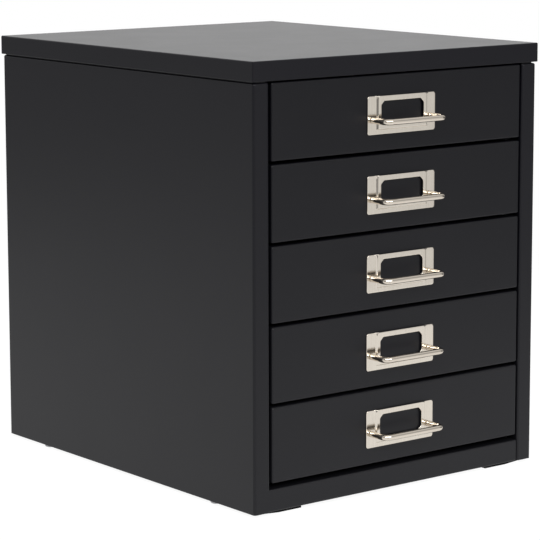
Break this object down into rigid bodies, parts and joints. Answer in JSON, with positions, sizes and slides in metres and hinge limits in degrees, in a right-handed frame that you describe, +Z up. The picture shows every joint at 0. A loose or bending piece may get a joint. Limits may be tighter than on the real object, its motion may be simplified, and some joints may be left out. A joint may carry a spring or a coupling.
{
  "type": "desktop drawer cabinet",
  "caption": "Black sheet-steel desktop cabinet with shallow sliding paper drawers, each with a nickel label plate and a wire pull.",
  "frame": {"origin": "on the floor, under the middle of the object's box with the drawers shut", "axes": "+Z up, drawers open towards -Y, +X to the right of a person facing the drawers"},
  "size_m": [0.274, 0.3446, 0.325],
  "materials": {
    "carcass_paint": "satin black powder coat, fine texture",
    "drawer_paint": "satin black powder coat, fine texture",
    "plain_steel": "zinc-plated sheet",
    "nickel": "satin nickel plate",
    "rubber": "matt black rubber",
    "glide_plastic": "grey moulded plastic"
  },
  "bodies": {
    "cabinet": {"top_lid": "carcass_paint", "left_side_panel": "carcass_paint", "right_side_panel": "carcass_paint", "back_panel": "carcass_paint", "base_panel": "carcass_paint", "front_plinth": "carcass_paint", "top_front_rail": "carcass_paint", "upright_front_left": "plain_steel", "upright_front_right": "plain_steel", "upright_rear_left": "plain_steel", "upright_rear_right": "plain_steel", "runner_1_left": "plain_steel", "runner_1_right": "plain_steel", "runner_2_left": "plain_steel", "runner_2_right": "plain_steel", "runner_3_left": "plain_steel", "runner_3_right": "plain_steel", "runner_4_left": "plain_steel", "runner_4_right": "plain_steel", "runner_5_left": "plain_steel", "runner_5_right": "plain_steel", "runner_rivets": "plain_steel", "rear_buffers": "rubber", "foot_front_left": "rubber", "foot_front_right": "rubber", "foot_rear_left": "rubber", "foot_rear_right": "rubber", "glide_buttons": "glide_plastic"},
    "drawer_1": {"drawer_1_front": "drawer_paint", "drawer_1_tray": "drawer_paint", "drawer_1_label_plate": "nickel", "drawer_1_pull": "nickel"},
    "drawer_2": {"drawer_2_front": "drawer_paint", "drawer_2_tray": "drawer_paint", "drawer_2_label_plate": "nickel", "drawer_2_pull": "nickel"},
    "drawer_3": {"drawer_3_front": "drawer_paint", "drawer_3_tray": "drawer_paint", "drawer_3_label_plate": "nickel", "drawer_3_pull": "nickel"},
    "drawer_4": {"drawer_4_front": "drawer_paint", "drawer_4_tray": "drawer_paint", "drawer_4_label_plate": "nickel", "drawer_4_pull": "nickel"},
    "drawer_5": {"drawer_5_front": "drawer_paint", "drawer_5_tray": "drawer_paint", "drawer_5_label_plate": "nickel", "drawer_5_pull": "nickel"}
  },
  "joints": [
    {"name": "drawer_1_slide", "type": "slide", "parent": "cabinet", "child": "drawer_1", "axis": [0, -1, 0], "range_m": [0, 0.24]},
    {"name": "drawer_2_slide", "type": "slide", "parent": "cabinet", "child": "drawer_2", "axis": [0, -1, 0], "range_m": [0, 0.24]},
    {"name": "drawer_3_slide", "type": "slide", "parent": "cabinet", "child": "drawer_3", "axis": [0, -1, 0], "range_m": [0, 0.24]},
    {"name": "drawer_4_slide", "type": "slide", "parent": "cabinet", "child": "drawer_4", "axis": [0, -1, 0], "range_m": [0, 0.24]},
    {"name": "drawer_5_slide", "type": "slide", "parent": "cabinet", "child": "drawer_5", "axis": [0, -1, 0], "range_m": [0, 0.24]}
  ]
}
